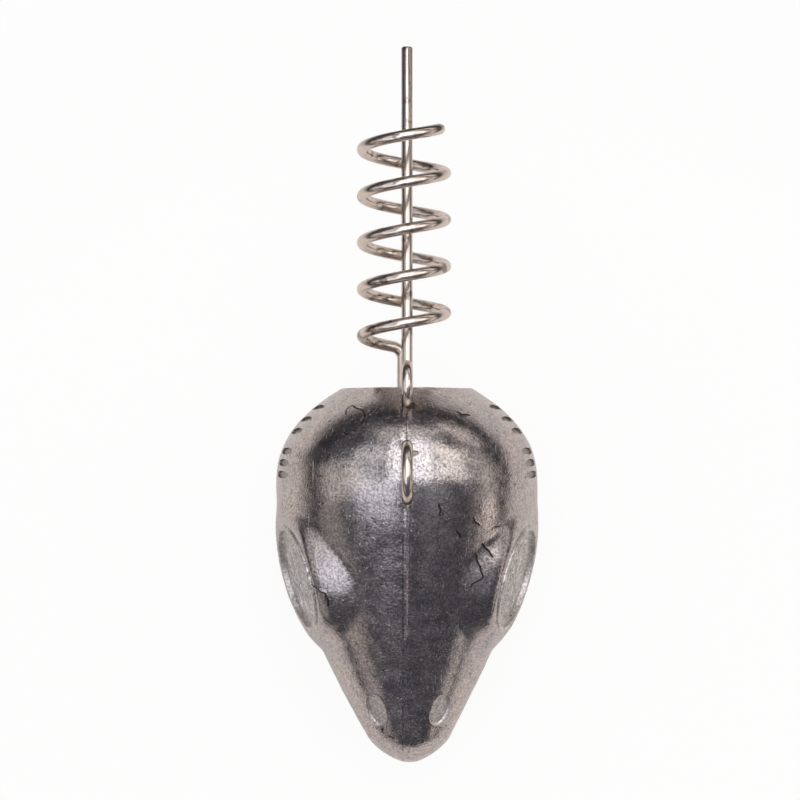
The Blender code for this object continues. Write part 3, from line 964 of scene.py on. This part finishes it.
def add_wire(name, path, node):
    """A finished wire along the path, in place of a node."""
    made = add_piece(name, path_mesh(name, path))
    sizes = {
        "Diameter": WIRE_DIAMETER,
        "Sides": WIRE_SIDES,
        "End Easing": END_EASING,
        "Metal": steel,
    }
    run_tree(made, round_sweep, sizes)
    baked(made)
    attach(made, "root")
    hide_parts(node)


def pin_path():
    """From the tip, where two closer points take its eased edge, to the foot in the lead."""
    tip = [Vector((0.0, PIN_LENGTH - eased, PIN_RISE)) for eased in (0.0, END_EASING / 2)]
    corners = [
        Vector((0.0, PIN_LENGTH - END_EASING, PIN_RISE)),
        Vector((0.0, -PIN_ANCHOR, PIN_RISE)),
        Vector((HOOK_LENGTH, -PIN_ANCHOR, PIN_RISE)),
    ]
    return [*tip, *rounded_path(corners, BEND_RADIUS)]


add_wire("centre_pin_wire", pin_path(), "centre_pin")


# Eye wire: one length of the same wire, bent in the plane of the mould's parting. It is closed
# round as the rear eye, runs under the crown, and rises from it as the line eye.
LINE_EYE_FROM_SEAT = 0.00757
LINE_EYE_WIDTH = 0.0057
LINE_EYE_STAND = 0.0041
EYE_WIRE_DEPTH = 0.0072
REAR_EYE_BEHIND_SEAT = 0.0002
REAR_EYE_WIDTH = 0.0042
REAR_EYE_STAND = 0.0021
REAR_EYE_GAP = 0.00045


def eye_wire_path():
    """From the rear eye's end, over it, forward under the crown and round the line eye."""
    run = crown_height(LINE_EYE_FROM_SEAT) - EYE_WIRE_DEPTH
    rear_radius = (REAR_EYE_WIDTH - WIRE_DIAMETER) / 2
    rear = REAR_EYE_BEHIND_SEAT + rear_radius
    foot = REAR_EYE_BEHIND_SEAT - rear_radius
    rear_top = crown_height(-foot) + REAR_EYE_STAND - WIRE_DIAMETER / 2
    rear_low = rear_top - 2 * rear_radius
    rear_eye = rounded_path(
        [
            Vector((0.0, foot + WIRE_DIAMETER + REAR_EYE_GAP, rear_low)),
            Vector((0.0, rear, rear_low)),
            Vector((0.0, rear, rear_top)),
            Vector((0.0, foot, rear_top)),
            Vector((0.0, foot, rear_low)),
        ],
        rear_radius,
    )
    line_radius = (LINE_EYE_WIDTH - WIRE_DIAMETER) / 2
    behind = -LINE_EYE_FROM_SEAT + line_radius
    front = -LINE_EYE_FROM_SEAT - line_radius
    line_top = crown_height(LINE_EYE_FROM_SEAT) + LINE_EYE_STAND - WIRE_DIAMETER / 2
    buried = rounded_path(
        [
            rear_eye[-1],
            Vector((0.0, foot, run)),
            Vector((0.0, behind, run)),
            Vector((0.0, behind, line_top - line_radius)),
        ],
        BEND_RADIUS,
    )
    line_eye = rounded_path(
        [
            buried[-1],
            Vector((0.0, behind, line_top)),
            Vector((0.0, front, line_top)),
            Vector((0.0, front, run)),
        ],
        line_radius,
    )
    return [*rear_eye, *buried[1:], *line_eye[1:]]


add_wire("eye_wire_bent", eye_wire_path(), "eye_wire")


# Screw coil: the same wire wound on a mandrel as an open right-hand screw, which turns into the
# end of a soft lure. Its last turn is bent down to a leg that is cast into the lead.
COIL_DIAMETER = 0.0084
COIL_PITCH = 0.00415
COIL_TURNS = 4.632
COIL_START_ANGLE = math.radians(27.0)
COIL_REACH = 0.0230
COIL_OFFSET = -0.00027
COIL_ANCHOR = 0.0060
POINTS_PER_TURN = 72


def coil_path():
    """A right-hand coil from its free end down to a leg that runs square into the seat."""
    radius = (COIL_DIAMETER - WIRE_DIAMETER) / 2
    steps = math.ceil(COIL_TURNS * POINTS_PER_TURN)
    path = []
    for i in range(steps + 1):
        turns = COIL_TURNS * i / steps
        angle = COIL_START_ANGLE + 2 * math.pi * turns
        across = COIL_OFFSET + radius * math.cos(angle)
        up = PIN_RISE + radius * math.sin(angle)
        path.append(Vector((across, COIL_REACH - COIL_PITCH * turns, up)))
    heading = Vector(
        (-math.sin(angle), -COIL_PITCH / (2 * math.pi * radius), math.cos(angle))
    ).normalized()
    into_lead = Vector((0.0, -1.0, 0.0))
    corner = path[-1] + heading * (BEND_RADIUS * math.tan(heading.angle(into_lead) / 2))
    leg_end = Vector((corner.x, -COIL_ANCHOR, corner.z))
    hook_end = leg_end - Vector((0.0, 0.0, HOOK_LENGTH))
    leg = rounded_path([path[-1], corner, leg_end, hook_end], BEND_RADIUS)
    return [*path, *leg[1:]]


add_wire("screw_coil_wound", coil_path(), "screw_coil")


# Studio: a white card just under the head on a dark table, in a room of softboxes: a large one
# overhead and to the back, two wings beside it, and weaker ones round the sides down to the table.
# The camera looks almost straight down on the crown from half a metre.
FLOOR_HALF = 1.2
CARD_MIDDLE = (0.006, -0.062)
CARD_SIZE = (0.086, 0.102)
CARD_FADE = 0.20
floor_mesh = bpy.data.meshes.new("floor")
floor_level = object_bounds()[0].z
floor_mesh.from_pydata(
    [(x * FLOOR_HALF, y * FLOOR_HALF, floor_level) for x, y in ((-1, -1), (1, -1), (1, 1), (-1, 1))],
    [],
    [(0, 1, 2, 3)],
)
floor = add_piece("floor", floor_mesh)


def white_card():
    """White card under the head, on a dark table; the camera's frame holds nothing but card."""
    made = bpy.data.materials.new("white card on a dark table")
    made.use_nodes = True
    tree = made.node_tree
    tree.nodes.clear()
    place = add(tree, "ShaderNodeTexCoord").outputs["Object"]
    away = oval(tree, place, (*CARD_MIDDLE, floor_level), (*CARD_SIZE, 1.0))
    table = add(
        tree,
        "ShaderNodeMapRange",
        {0: away, 1: 1 - CARD_FADE, 2: 1 + CARD_FADE},
        interpolation_type="SMOOTHSTEP",
    )
    tone = add(
        tree,
        "ShaderNodeMix",
        {0: table, 6: to_linear("#f6f0e8"), 7: to_linear("#3c3c40")},
        data_type="RGBA",
    )
    paper = add(tree, "ShaderNodeBsdfDiffuse", {"Color": tone.outputs[2]})
    glow = add(tree, "ShaderNodeEmission", {"Color": to_linear("#ffffff"), "Strength": 1.0})
    rays = add(tree, "ShaderNodeLightPath")
    seen = add(tree, "ShaderNodeMapRange", {0: table, 3: 0.93, 4: 1.0})
    share = add(
        tree, "ShaderNodeMath", {0: rays.outputs["Is Camera Ray"], 1: seen}, operation="MULTIPLY"
    )
    mixed = add(tree, "ShaderNodeMixShader", {0: share, 1: paper, 2: glow})
    out = add(tree, "ShaderNodeOutputMaterial")
    tree.links.new(mixed.outputs[0], out.inputs["Surface"])
    return made


floor.data.materials.append(white_card())


def room():
    """Dim walls behind the softboxes, which the camera sees as white."""
    world = bpy.data.worlds.new("room")
    world.use_nodes = True
    tree = world.node_tree
    tree.nodes.clear()
    rays = add(tree, "ShaderNodeLightPath")
    seen = add(
        tree,
        "ShaderNodeMix",
        {0: rays.outputs["Is Camera Ray"], 6: to_linear("#5a5a62"), 7: to_linear("#ffffff")},
        data_type="RGBA",
    )
    back = add(tree, "ShaderNodeBackground", {"Color": seen.outputs[2], "Strength": 1.0})
    out = add(tree, "ShaderNodeOutputWorld")
    tree.links.new(back.outputs[0], out.inputs["Surface"])
    return world


bpy.context.scene.world = room()


HEAD_MIDDLE = Vector((0.0, -0.015, 0.0))
OVERHEAD = 0.7


def add_softbox(name, place, size, radiance, colour):
    """A softbox overhead faces down, a lower one faces the head; radiance is how bright it looks."""
    data = bpy.data.lights.new(name, "AREA")
    data.shape = "RECTANGLE"
    data.size, data.size_y = size
    data.energy = radiance * math.pi * size[0] * size[1]
    data.color = to_linear(colour)[:3]
    made = bpy.data.objects.new(name, data)
    bpy.context.scene.collection.objects.link(made)
    made.location = place
    if place[2] < OVERHEAD:
        made.rotation_euler = (Vector(place) - HEAD_MIDDLE).to_track_quat("Z", "Y").to_euler()
    made.visible_camera = False


# Each softbox: its name, place, size, radiance and colour
for softbox in (
    ("ceiling", (0.05, 0.30, 0.80), (0.60, 1.04), 2.40, "#f8f8ff"),
    ("left wing", (-0.72, 0.24, 0.80), (0.70, 0.96), 0.85, "#f8f8ff"),
    ("right wing", (0.74, 0.27, 0.80), (0.70, 0.90), 1.55, "#fffaf4"),
    ("front left", (-0.50, -0.45, 0.80), (0.84, 0.56), 1.35, "#f4f4ff"),
    ("front right", (0.32, -0.36, 0.69), (0.45, 0.40), 0.20, "#f4f4ff"),
    ("back", (0.0, 0.80, 0.50), (0.90, 0.40), 0.68, "#fffaf4"),
    ("left", (-0.80, -0.10, 0.40), (0.55, 0.50), 0.60, "#fffaf4"),
    ("right", (0.80, 0.10, 0.40), (0.55, 0.50), 0.45, "#fffaf4"),
    ("low right", (0.85, -0.15, 0.12), (0.60, 0.20), 0.60, "#fff4ec"),
    ("low right front", (0.74, -0.46, 0.09), (0.45, 0.18), 0.80, "#fff4ec"),
    ("low left", (-0.85, -0.15, 0.12), (0.60, 0.20), 0.25, "#fff4ec"),
    ("low back right", (0.55, 0.60, 0.15), (0.60, 0.22), 0.94, "#fff4ec"),
    ("low front left", (-0.55, -0.62, 0.15), (0.50, 0.25), 0.45, "#fff4ec"),
):
    add_softbox(*softbox)

CAMERA_DISTANCE = 0.530
CAMERA_TILT = math.radians(0.96)
VIEW_WIDTH = 0.0712
VIEW_CENTRE = Vector((-0.00062, -0.00107, PIN_RISE))
SENSOR_WIDTH = 36.0

lens = bpy.data.cameras.new("camera")
lens.sensor_width = SENSOR_WIDTH
lens.lens = SENSOR_WIDTH * CAMERA_DISTANCE / VIEW_WIDTH
lens.clip_start = 0.01
lens.clip_end = 10.0
camera = bpy.data.objects.new("camera", lens)
bpy.context.scene.collection.objects.link(camera)
camera.rotation_euler = (CAMERA_TILT, 0.0, 0.0)
camera.location = VIEW_CENTRE + CAMERA_DISTANCE * Vector(
    (0.0, -math.sin(CAMERA_TILT), math.cos(CAMERA_TILT))
)
bpy.context.scene.camera = camera
bpy.context.scene.view_settings.view_transform = "Standard"
